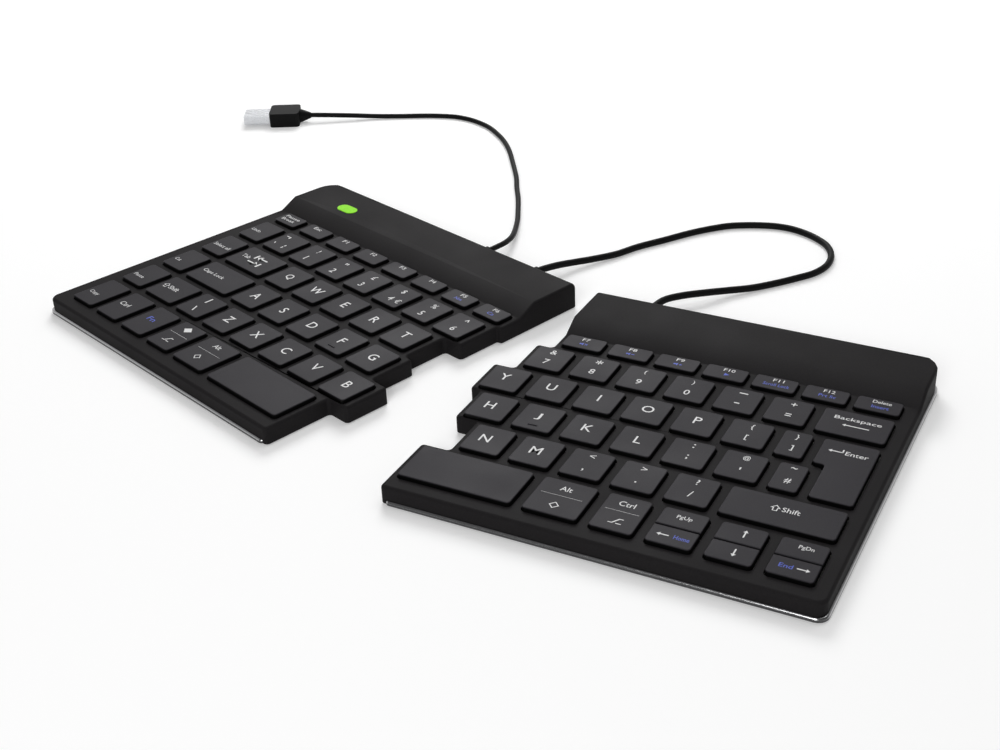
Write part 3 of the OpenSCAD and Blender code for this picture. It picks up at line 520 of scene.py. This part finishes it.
def metal(name, colour, pale=1.12, rough=(0.2, 0.35)):
    """A brushed metal finish, made once."""
    if name in bpy.data.materials:
        return bpy.data.materials[name]
    material, tree, shader = new_finish(name)
    pattern = use_group(tree, "Brushed metal", Colour=rgba(colour), Pale=rgba(colour, pale),
                        Smooth=rough[0], Rough=rough[1])
    tree.links.new(pattern.outputs["Colour"], shader.inputs["Base Color"])
    shader.inputs["Metallic"].default_value = 1.0
    link_surface(tree, shader, pattern, bump=(0.1, 0.00002))
    return material


def key_finish():
    """Matt key plastic, grey on the top, with black painted shade down the sides."""
    if "Key plastic" in bpy.data.materials:
        return bpy.data.materials["Key plastic"]
    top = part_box("enter_key")[1].z
    material, tree, shader = new_finish("Key plastic")
    pattern = use_group(tree, "Moulded grain", Colour=rgba(colours().key), Pale=rgba(colours().key, 1.2),
                        Grain=2800.0, Smooth=0.42, Rough=0.52)
    # Below this level the key's grey turns to black painted shade down its sides
    mask = use_group(tree, "Above level", Low=top - KEY_SIDE_SHADE[0], High=top - KEY_SIDE_SHADE[1])
    mixed = mix_colour(tree, mask.outputs["Mask"], rgba(colours().painted_side_shade), pattern.outputs["Colour"])
    tree.links.new(mixed, shader.inputs["Base Color"])
    shader.inputs["Specular IOR Level"].default_value = 0.06
    link_surface(tree, shader, pattern, bump=(0.12, 0.00003))
    return material


def plate_finish():
    """Dark base plate with a bright cut along its upper edge."""
    if "Base plate" in bpy.data.materials:
        return bpy.data.materials["Base plate"]
    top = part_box("left_switch_plate")[0].z
    material, tree, shader = new_finish("Base plate")
    pattern = use_group(tree, "Brushed metal", Colour=rgba(colours().plate), Pale=rgba(colours().plate, 1.15),
                        Smooth=0.14, Rough=0.24)
    cut = top - sizes().rim_cut
    mask = use_group(tree, "Above level", Low=cut - CUT_FADE, High=cut)
    mixed = mix_colour(tree, mask.outputs["Mask"], pattern.outputs["Colour"], rgba(colours().cut))
    tree.links.new(mixed, shader.inputs["Base Color"])
    tree.links.new(mask.outputs["Mask"], shader.inputs["Metallic"])
    link_surface(tree, shader, pattern, bump=(0.1, 0.00002))
    return material


def lens_finish():
    """A green lens that glows."""
    if "Lit lens" in bpy.data.materials:
        return bpy.data.materials["Lit lens"]
    material, tree, shader = new_finish("Lit lens")
    pattern = use_group(tree, "Moulded grain", Colour=rgba(colours().light), Pale=rgba(colours().light, 1.15),
                        Grain=900.0, Smooth=0.45, Rough=0.55)
    tree.links.new(pattern.outputs["Colour"], shader.inputs["Base Color"])
    tree.links.new(pattern.outputs["Colour"], shader.inputs["Emission Color"])
    shader.inputs["Emission Strength"].default_value = 0.3
    shader.inputs["Specular IOR Level"].default_value = 0.1
    link_surface(tree, shader, pattern, bump=(0.05, 0.00002))
    return material


def case_finish():
    return moulded("Case plastic", colours().case, pale=1.3, grain=2400.0, rough=(0.48, 0.58),
                   bump=(0.18, 0.00004), specular=0.03)


def sheath_finish():
    return moulded("Cable sheath", colours().cable, pale=1.3, grain=1500.0, rough=(0.42, 0.52),
                   bump=(0.1, 0.00003), specular=0.06)


def rubber_finish():
    return moulded("Black rubber", RUBBER, pale=1.5, grain=1800.0, rough=(0.6, 0.75), bump=(0.2, 0.00004),
                   specular=0.2)


def film_finish():
    return moulded("Pale film", FILM, pale=1.1, grain=1200.0, rough=(0.35, 0.5))


def print_finish(ink):
    colour = colours().print_white if ink == "white" else colours().print_blue
    return moulded("Print " + ink, colour, pale=0.94, grain=3500.0, rough=(0.5, 0.6), bump=(0.05, 0.00001),
                   specular=0.3)


# Building helpers

def new_object(name, bm, material):
    """Make an object from a bmesh, with its finish."""
    mesh = bpy.data.meshes.new(name)
    bm.to_mesh(mesh)
    bm.free()
    mesh.materials.append(material)
    made = bpy.data.objects.new(name, mesh)
    bpy.context.scene.collection.objects.link(made)
    return made


def new_piece(name, bm, body, material, slot, *replaced):
    """Make a piece from a bmesh, let it ride on its body and stand for its nodes."""
    piece = new_object(name, bm, material)
    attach(piece, body)
    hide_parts(*replaced)
    return piece


def soften(piece, angle=35):
    """Smooth shading with flat faces kept flat."""
    piece.data.shade_smooth()
    piece.data.set_sharp_from_angle(angle=radians(angle))
    even = piece.modifiers.new("Even shading", "WEIGHTED_NORMAL")
    even.keep_sharp = True


def plain_name(node, row=""):
    """A key node's name without its ending, or with another one for a row of keys."""
    return node.replace("_keys", row).replace("_key", "")


def merged_copy(node, joined=True):
    """A node's mesh with its doubles merged and, if asked, its flat faces joined."""
    bm = bmesh.new()
    bm.from_mesh(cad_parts[node].data)
    bmesh.ops.remove_doubles(bm, verts=bm.verts, dist=MERGE)
    if joined:
        bmesh.ops.dissolve_limit(bm, angle_limit=radians(FLAT_ANGLE), verts=bm.verts, edges=bm.edges)
    return bm


def cut_in_bands(bm, side, boxes):
    """Cut a case along the middle of each key row, so that no flat face runs round many openings."""
    turn = Matrix.Rotation(HALF_TURN[side], 3, "Z")
    for y in sorted({round((low.y + high.y) / 2, ROW_DIGITS) for low, high in boxes}):
        made = bmesh.ops.bisect_plane(bm, geom=bm.verts[:] + bm.edges[:] + bm.faces[:], dist=ON_CUT,
                                      plane_co=turn @ Vector((0, y, 0)), plane_no=turn @ Vector((0, 1, 0)))
        for part in made["geom_cut"]:
            if isinstance(part, bmesh.types.BMEdge):
                part.seam = True
    bmesh.ops.dissolve_limit(bm, angle_limit=radians(FLAT_ANGLE), verts=bm.verts, edges=bm.edges,
                             delimit={"SEAM"})


def is_convex(edge, least=30):
    return len(edge.link_faces) == 2 and edge.is_convex and edge.calc_face_angle(0) > radians(least)


def middle(edge):
    return (edge.verts[0].co + edge.verts[1].co) / 2


def turned_back(co, side):
    """A point in the turned frame of its half, where the keys stand square."""
    return Matrix.Rotation(-HALF_TURN[side], 3, "Z") @ co


def islands(bm):
    """The separate shells of a bmesh, as lists of vertices."""
    left, found = set(bm.verts), []
    while left:
        seed = left.pop()
        shell, queue = [seed], [seed]
        while queue:
            for edge in queue.pop().link_edges:
                for vert in edge.verts:
                    if vert in left:
                        left.discard(vert)
                        shell.append(vert)
                        queue.append(vert)
        found.append(shell)
    return found


@cache
def key_boxes(node, side):
    """Box of each key of a node in its half's turned frame: low and high corner, in reading order."""
    bm = merged_copy(node)
    boxes = []
    for shell in islands(bm):
        spots = [turned_back(v.co, side) for v in shell]
        low = Vector([min(s[k] for s in spots) for k in range(3)])
        high = Vector([max(s[k] for s in spots) for k in range(3)])
        boxes.append((low, high))
    bm.free()
    in_column = node == "left_shortcut_keys"
    return sorted(boxes, key=lambda b: -b[0].y if in_column else b[0].x)


def near_key(co, side, boxes, reach):
    """Whether a point is over a key or within reach of one, seen from above."""
    spot = turned_back(co, side)
    return any(low.x - reach < spot.x < high.x + reach and low.y - reach < spot.y < high.y + reach
               for low, high in boxes)


def smooth_route(points, steps=6):
    """Points along a smooth curve through the route, in metres."""
    spots = [Vector(p) * MM for p in points]
    curve = []
    for i in range(len(spots) - 1):
        before, after = spots[max(i - 1, 0)], spots[min(i + 2, len(spots) - 1)]
        start, end = spots[i], spots[i + 1]
        # Each handle is a sixth of the way between a point's neighbours
        lead = start + (end - before) / 6
        tail = end - (after - start) / 6
        curve += interpolate_bezier(start, lead, tail, end, steps + 1)[:-1]
    return curve + [spots[-1]]


def tube(route, radius, sides=16):
    """A round tube along a route, closed at both ends."""
    bm = bmesh.new()
    loops = []
    for i, spot in enumerate(route):
        ahead = (route[min(i + 1, len(route) - 1)] - route[max(i - 1, 0)]).normalized()
        across = Vector((0, 0, 1)).cross(ahead).normalized()
        stand = Matrix((across, ahead.cross(across), ahead)).transposed().to_4x4()
        made = bmesh.ops.create_circle(bm, segments=sides, radius=radius,
                                       matrix=Matrix.Translation(spot) @ stand)
        ring = made["verts"]
        loops.append([bm.edges.get((ring[k], ring[(k + 1) % sides])) for k in range(sides)])
    for first, second in zip(loops, loops[1:]):
        bmesh.ops.bridge_loops(bm, edges=first + second)
    bmesh.ops.contextual_create(bm, geom=loops[0])
    bmesh.ops.contextual_create(bm, geom=loops[-1])
    bmesh.ops.recalc_face_normals(bm, faces=bm.faces)
    return bm


# Operators

class KEYBOARD_OT_stage(bpy.types.Operator):
    """Camera, floor, lamps and world."""
    bl_idname = "keyboard.stage"
    bl_label = "Stage"

    def execute(self, context):
        scene = context.scene
        scene.view_settings.view_transform = "Standard"
        data = bpy.data.cameras.new("Camera")
        data.sensor_width = SENSOR_WIDTH
        data.lens = CAMERA_LENS
        data.shift_x = CAMERA_SHIFT
        data.clip_start = CLIP_START
        camera = bpy.data.objects.new("Camera", data)
        scene.collection.objects.link(camera)
        axes = Matrix((CAMERA_RIGHT, -Vector(CAMERA_DOWN), -Vector(CAMERA_AHEAD))).transposed().to_4x4()
        camera.matrix_world = Matrix.Translation(CAMERA_PLACE) @ axes
        scene.camera = camera
        self.make_floor()
        self.make_world(scene)
        for name, values in LAMPS.items():
            self.make_lamp(scene, name, *values)
        return {"FINISHED"}

    def shown_white(self, tree):
        """One for rays that see the stage directly, in a reflection or through glass."""
        path = tree.nodes.new("ShaderNodeLightPath")
        seen = path.outputs["Is Camera Ray"]
        for ray in ("Is Glossy Ray", "Is Transmission Ray"):
            either = tree.nodes.new("ShaderNodeMath")
            either.operation = "MAXIMUM"
            tree.links.new(seen, either.inputs[0])
            tree.links.new(path.outputs[ray], either.inputs[1])
            seen = either.outputs[0]
        return seen

    def make_floor(self):
        """A pale floor that turns white away from the keyboard and keeps its shadow."""
        bm = bmesh.new()
        bmesh.ops.create_grid(bm, x_segments=1, y_segments=1, size=FLOOR_SIZE)
        material, tree, shader = new_finish("White floor")
        shader.inputs["Base Color"].default_value = FLOOR_GREY
        shader.inputs["Roughness"].default_value = 0.9
        shader.inputs["Specular IOR Level"].default_value = 0.0
        shader.inputs["Emission Color"].default_value = WHITE
        lift = tree.nodes.new("ShaderNodeMath")
        lift.operation = "MULTIPLY"
        far = tree.nodes.new("ShaderNodeVectorMath")
        far.operation = "LENGTH"
        tree.links.new(object_place(tree), far.inputs[0])
        tree.links.new(map_range(tree, far.outputs["Value"], *FLOOR_LIFT), lift.inputs[1])
        tree.links.new(self.shown_white(tree), lift.inputs[0])
        tree.links.new(lift.outputs[0], shader.inputs["Emission Strength"])
        floor = new_object("Floor", bm, material)

    def make_world(self, scene):
        """A plain level of light; a reflection sees it bright behind and to the left, and dark elsewhere."""
        world = bpy.data.worlds.new("White world")
        world.use_nodes = True
        tree = world.node_tree
        lean = tree.nodes.new("ShaderNodeVectorMath")
        lean.operation = "DOT_PRODUCT"
        lean.inputs[1].default_value = WORLD_LEAN
        tree.links.new(tree.nodes.new("ShaderNodeTexCoord").outputs["Generated"], lean.inputs[0])
        seen = map_range(tree, lean.outputs["Value"], *WORLD_SEEN)
        level = tree.nodes.new("ShaderNodeMix")
        level.inputs["A"].default_value = WORLD_LEVEL
        tree.links.new(self.shown_white(tree), level.inputs["Factor"])
        tree.links.new(seen, level.inputs["B"])
        behind = tree.nodes.new("ShaderNodeMix")
        behind.inputs["B"].default_value = 1.0
        path = tree.nodes.new("ShaderNodeLightPath")
        tree.links.new(path.outputs["Is Camera Ray"], behind.inputs["Factor"])
        tree.links.new(level.outputs["Result"], behind.inputs["A"])
        tree.nodes["Background"].inputs["Color"].default_value = WHITE
        tree.links.new(behind.outputs["Result"], tree.nodes["Background"].inputs["Strength"])
        scene.world = world

    def make_lamp(self, scene, name, place, size, power):
        data = bpy.data.lights.new(name, "AREA")
        data.shape = "DISK"
        data.size = size
        data.energy = power
        lamp = bpy.data.objects.new(name, data)
        lamp.location = place
        lamp.rotation_euler = (-Vector(place)).to_track_quat("-Z", "Y").to_euler()
        scene.collection.objects.link(lamp)


class KEYBOARD_OT_cables(bpy.types.Operator):
    """Host cable and link cable."""
    bl_idname = "keyboard.cables"
    bl_label = "Cables"

    def execute(self, context):
        usb_path = smooth_route(USB_ROUTE)
        usb = new_piece("host_cable", tube(usb_path, sizes().usb_cable_d / 2), "left_half", sheath_finish(),
                        "cable", "usb_cable")
        usb.data.shade_smooth()
        link_path = smooth_route(LINK_ROUTE)
        link = new_object("link_lead_cable", tube(link_path, sizes().link_cable_d / 2), sheath_finish())
        link.data.shade_smooth()
        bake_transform(link)
        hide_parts("link_cable")
        return {"FINISHED"}


class KEYBOARD_OT_cases(bpy.types.Operator):
    """Top cases with soft edges."""
    bl_idname = "keyboard.cases"
    bl_label = "Top cases"

    def execute(self, context):
        for side in SIDES:
            boxes = [box for node in KEYS[side] for box in key_boxes(node, side)]
            bm = merged_copy(side + "_top_case", joined=False)
            cut_in_bands(bm, side, boxes)
            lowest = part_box(side + "_switch_plate")[1].z + ABOVE_PLATE
            edges = [e for e in bm.edges if is_convex(e) and min(v.co.z for v in e.verts) > lowest]
            outer = [e for e in edges if self.is_outer(e, side, boxes)]
            bmesh.ops.bevel(bm, geom=outer, offset=sizes().case_round, segments=4, **BEVEL)
            case = new_piece(side + "_case", bm, side + "_half", case_finish(), "case", side + "_top_case")
            soften(case)
        return {"FINISHED"}

    def is_outer(self, edge, side, boxes):
        """Whether an edge is clear of the key openings, the lens and the glands."""
        spot = middle(edge)
        if near_key(spot, side, boxes, KEY_REACH):
            return False
        reach = Vector((FITTING_REACH, FITTING_REACH, 0.0))
        for fitting in ("status_light", "usb_gland", "left_link_gland", "right_link_gland"):
            low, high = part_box(fitting)[0] - reach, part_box(fitting)[1] + reach
            if low.x < spot.x < high.x and low.y < spot.y < high.y and spot.z < high.z + GLAND_CLEAR:
                return False
        return True


class KEYBOARD_OT_plates(bpy.types.Operator):
    """Base plates with the bright cut rim."""
    bl_idname = "keyboard.plates"
    bl_label = "Base plates"

    def execute(self, context):
        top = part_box("left_switch_plate")[0].z
        for side in SIDES:
            bm = merged_copy(side + "_base_plate")
            edges = [e for e in bm.edges if is_convex(e) and all(abs(v.co.z - top) < LEVEL for v in e.verts)]
            rim = [e for e in edges if any(f.normal.z < UPRIGHT for f in e.link_faces)]
            bmesh.ops.bevel(bm, geom=rim, offset=sizes().rim_cut, segments=2, **BEVEL)
            plate = new_piece(side + "_plate", bm, side + "_half", plate_finish(), "base",
                              side + "_base_plate")
            soften(plate)
        return {"FINISHED"}


class KEYBOARD_OT_keys(bpy.types.Operator):
    """Key caps with rounded upper edges."""
    bl_idname = "keyboard.keys"
    bl_label = "Keys"

    def execute(self, context):
        for side in SIDES:
            for node in KEYS[side]:
                bm = merged_copy(node)
                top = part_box(node)[1].z
                edges = [e for e in bm.edges if is_convex(e) and all(v.co.z > top - LEVEL for v in e.verts)]
                bmesh.ops.bevel(bm, geom=edges, offset=sizes().key_round, segments=3, **BEVEL)
                name = node.replace("_key", "_cap")
                cap = new_piece(name, bm, node, key_finish(), "keys", node)
                soften(cap)
        return {"FINISHED"}


class KEYBOARD_OT_legends(bpy.types.Operator):
    """Printed legends and the two homing bars."""
    bl_idname = "keyboard.legends"
    bl_label = "Legends"

    def execute(self, context):
        for side in SIDES:
            for node in KEYS[side]:
                self.print_node(node, side)
        return {"FINISHED"}

    def print_node(self, node, side):
        """Print the keys of a node, one piece for each ink."""
        boxes = key_boxes(node, side)
        if len(boxes) != len(LEGENDS[node]):
            raise RuntimeError(f"{node} has {len(boxes)} keys and {len(LEGENDS[node])} legends")
        if node in HOMING_KEYS:
            self.make_bar(node, boxes[HOMING_KEYS[node]], side)
        for ink in ("white", "blue"):
            bm = bmesh.new()
            for box, marks in zip(boxes, LEGENDS[node]):
                for mark in marks:
                    if mark["ink"] == ink:
                        self.print_mark(bm, mark, box, side)
            if len(bm.verts):
                new_piece(f"{plain_name(node)}_print_{ink}", bm, node, print_finish(ink), "keys")
            else:
                bm.free()

    def make_bar(self, node, box, side):
        """The small raised bar that a finger finds."""
        low, high = box
        bm = bmesh.new()
        place = Matrix.Translation(((low.x + high.x) / 2, (low.y + high.y) / 2 - sizes().bar_forward, high.z))
        size = Matrix.Diagonal((sizes().bar_length, sizes().bar_width, sizes().bar_height * 2, 1))
        bmesh.ops.create_cube(bm, size=1.0, matrix=Matrix.Rotation(HALF_TURN[side], 4, "Z") @ place @ size)
        top = [e for e in bm.edges if all(v.co.z > high.z for v in e.verts)]
        bmesh.ops.bevel(bm, geom=top, offset=sizes().bar_height * BAR_ROUND, segments=2, **BEVEL)
        bar = new_piece(plain_name(node, "_homing_bar"), bm, node, key_finish(), "keys")
        soften(bar)

    def print_mark(self, bm, mark, box, side):
        """Add a word or line to a bmesh, in its place on the key."""
        low, high = box
        centre = Vector(((low.x + high.x) / 2 + mark["across"] * MM,
                         (low.y + high.y) / 2 + mark["along"] * MM, high.z + sizes().print_lift))
        place = Matrix.Rotation(HALF_TURN[side], 4, "Z") @ Matrix.Translation(centre)
        if "text" in mark:
            mesh = self.text_mesh(mark)
        else:
            flat = bmesh.new()
            size = Matrix.Diagonal((mark["length"] * MM / 2, mark["line"] * MM / 2, 1, 1))
            bmesh.ops.create_grid(flat, x_segments=1, y_segments=1, size=1.0,
                                  matrix=Matrix.Rotation(mark["turn"], 4, "Z") @ size)
            mesh = bpy.data.meshes.new("line")
            flat.to_mesh(mesh)
            flat.free()
        mesh.transform(place)
        bm.from_mesh(mesh)
        bpy.data.meshes.remove(mesh)

    def text_mesh(self, mark):
        """A word as a flat mesh round the origin, scaled to its width and height."""
        curve = bpy.data.curves.new("word", "FONT")
        curve.body = mark["text"]
        curve.resolution_u = 3
        curve.offset = sizes().print_weight * mark["weight"]
        shape = bpy.data.objects.new("word", curve)
        bpy.context.scene.collection.objects.link(shape)
        bpy.context.view_layer.update()
        solid = shape.evaluated_get(bpy.context.evaluated_depsgraph_get())
        mesh = bpy.data.meshes.new_from_object(solid)
        bpy.data.objects.remove(shape)
        bpy.data.curves.remove(curve)
        xs = [v.co.x for v in mesh.vertices]
        ys = [v.co.y for v in mesh.vertices]
        tall = mark["height"] * MM / (max(ys) - min(ys))
        wide = mark["width"] * MM / (max(xs) - min(xs)) if mark["width"] else tall * LETTER_STRETCH
        to_centre = Matrix.Translation((-(min(xs) + max(xs)) / 2, -(min(ys) + max(ys)) / 2, 0))
        mesh.transform(Matrix.Diagonal((wide, tall, 1, 1)) @ to_centre)
        return mesh


class KEYBOARD_OT_springs(bpy.types.Operator):
    """Rubber domes and scissors, split up under each key."""
    bl_idname = "keyboard.springs"
    bl_label = "Domes and scissors"

    def execute(self, context):
        for side in SIDES:
            self.split(side, "domes", rubber_finish(), "rubber")
            self.split(side, "scissors", film_finish(), "film")
        return {"FINISHED"}

    def split(self, side, kind, material, slot):
        """Split a node into one piece for each key node above it."""
        source = side + "_" + kind
        whole = merged_copy(source)
        whole.verts.index_update()
        shells = [[v.index for v in shell] for shell in islands(whole)]
        whole.verts.ensure_lookup_table()
        centres = [sum((whole.verts[i].co for i in shell), Vector()) / len(shell) for shell in shells]
        found = 0
        for node in KEYS[side]:
            boxes = key_boxes(node, side)
            own = [shell for shell, centre in zip(shells, centres) if near_key(centre, side, boxes, 0.0)]
            kept = {i for shell in own for i in shell}
            bm = whole.copy()
            bm.verts.index_update()
            bmesh.ops.delete(bm, geom=[v for v in bm.verts if v.index not in kept], context="VERTS")
            piece = new_piece(f"{plain_name(node)}_{kind}", bm, side + "_half", material, slot, source)
            soften(piece)
            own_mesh(piece)
            found += len(own)
        whole.free()
        if found != len(shells):
            raise RuntimeError(f"{source} has {len(shells)} pieces and {found} lie under a key")


class KEYBOARD_OT_fittings(bpy.types.Operator):
    """Finishes of the nodes that keep their own shape."""
    bl_idname = "keyboard.fittings"
    bl_label = "Lens, glands, plug and inner pieces"

    def execute(self, context):
        steel = metal("Plated steel", STEEL)
        film = film_finish()
        board = moulded("Green board", BOARD, pale=1.6, grain=500.0, rough=(0.3, 0.45))
        finishes = {
            "status_light": lens_finish(), "usb_gland": rubber_finish(), "left_link_gland": rubber_finish(),
            "right_link_gland": rubber_finish(), "usb_plug_body": sheath_finish(), "usb_plug_shell": steel,
            "usb_plug_tongue": film, "left_main_board": board, "right_board": board}
        for side in SIDES:
            finishes.update({
                side + "_switch_plate": steel, side + "_screws": steel, side + "_membrane": film,
                side + "_feet": rubber_finish()})
        for node, material in finishes.items():
            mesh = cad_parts[node].data
            mesh.materials.clear()
            mesh.materials.append(material)
        return {"FINISHED"}


class KEYBOARD_PT_looks(bpy.types.Panel):
    """Buttons for the keyboard's looks."""
    bl_idname = "KEYBOARD_PT_looks"
    bl_label = "Split keyboard"
    bl_space_type = "VIEW_3D"
    bl_region_type = "UI"
    bl_category = "Keyboard"

    def draw(self, context):
        for values in (context.scene.keyboard_sizes, context.scene.keyboard_colours):
            for name in values.bl_rna.properties.keys():
                if name not in ("rna_type", "name"):
                    self.layout.prop(values, name)
        for operator in OPERATORS:
            self.layout.operator(operator.bl_idname)


GROUPS = (KeyboardSizes, KeyboardColours)
OPERATORS = (KEYBOARD_OT_stage, KEYBOARD_OT_cables, KEYBOARD_OT_cases, KEYBOARD_OT_plates, KEYBOARD_OT_keys,
             KEYBOARD_OT_legends, KEYBOARD_OT_springs, KEYBOARD_OT_fittings)


def register():
    for part in GROUPS + OPERATORS + (KEYBOARD_PT_looks,):
        bpy.utils.register_class(part)
    bpy.types.Scene.keyboard_sizes = bpy.props.PointerProperty(type=KeyboardSizes)
    bpy.types.Scene.keyboard_colours = bpy.props.PointerProperty(type=KeyboardColours)


def unregister():
    del bpy.types.Scene.keyboard_colours
    del bpy.types.Scene.keyboard_sizes
    for part in reversed(GROUPS + OPERATORS + (KEYBOARD_PT_looks,)):
        bpy.utils.unregister_class(part)


def main():
    register()
    bpy.ops.keyboard.stage()
    bpy.ops.keyboard.cables()
    bpy.ops.keyboard.cases()
    bpy.ops.keyboard.plates()
    bpy.ops.keyboard.keys()
    bpy.ops.keyboard.legends()
    bpy.ops.keyboard.springs()
    bpy.ops.keyboard.fittings()


if __name__ == "__main__":
    main()
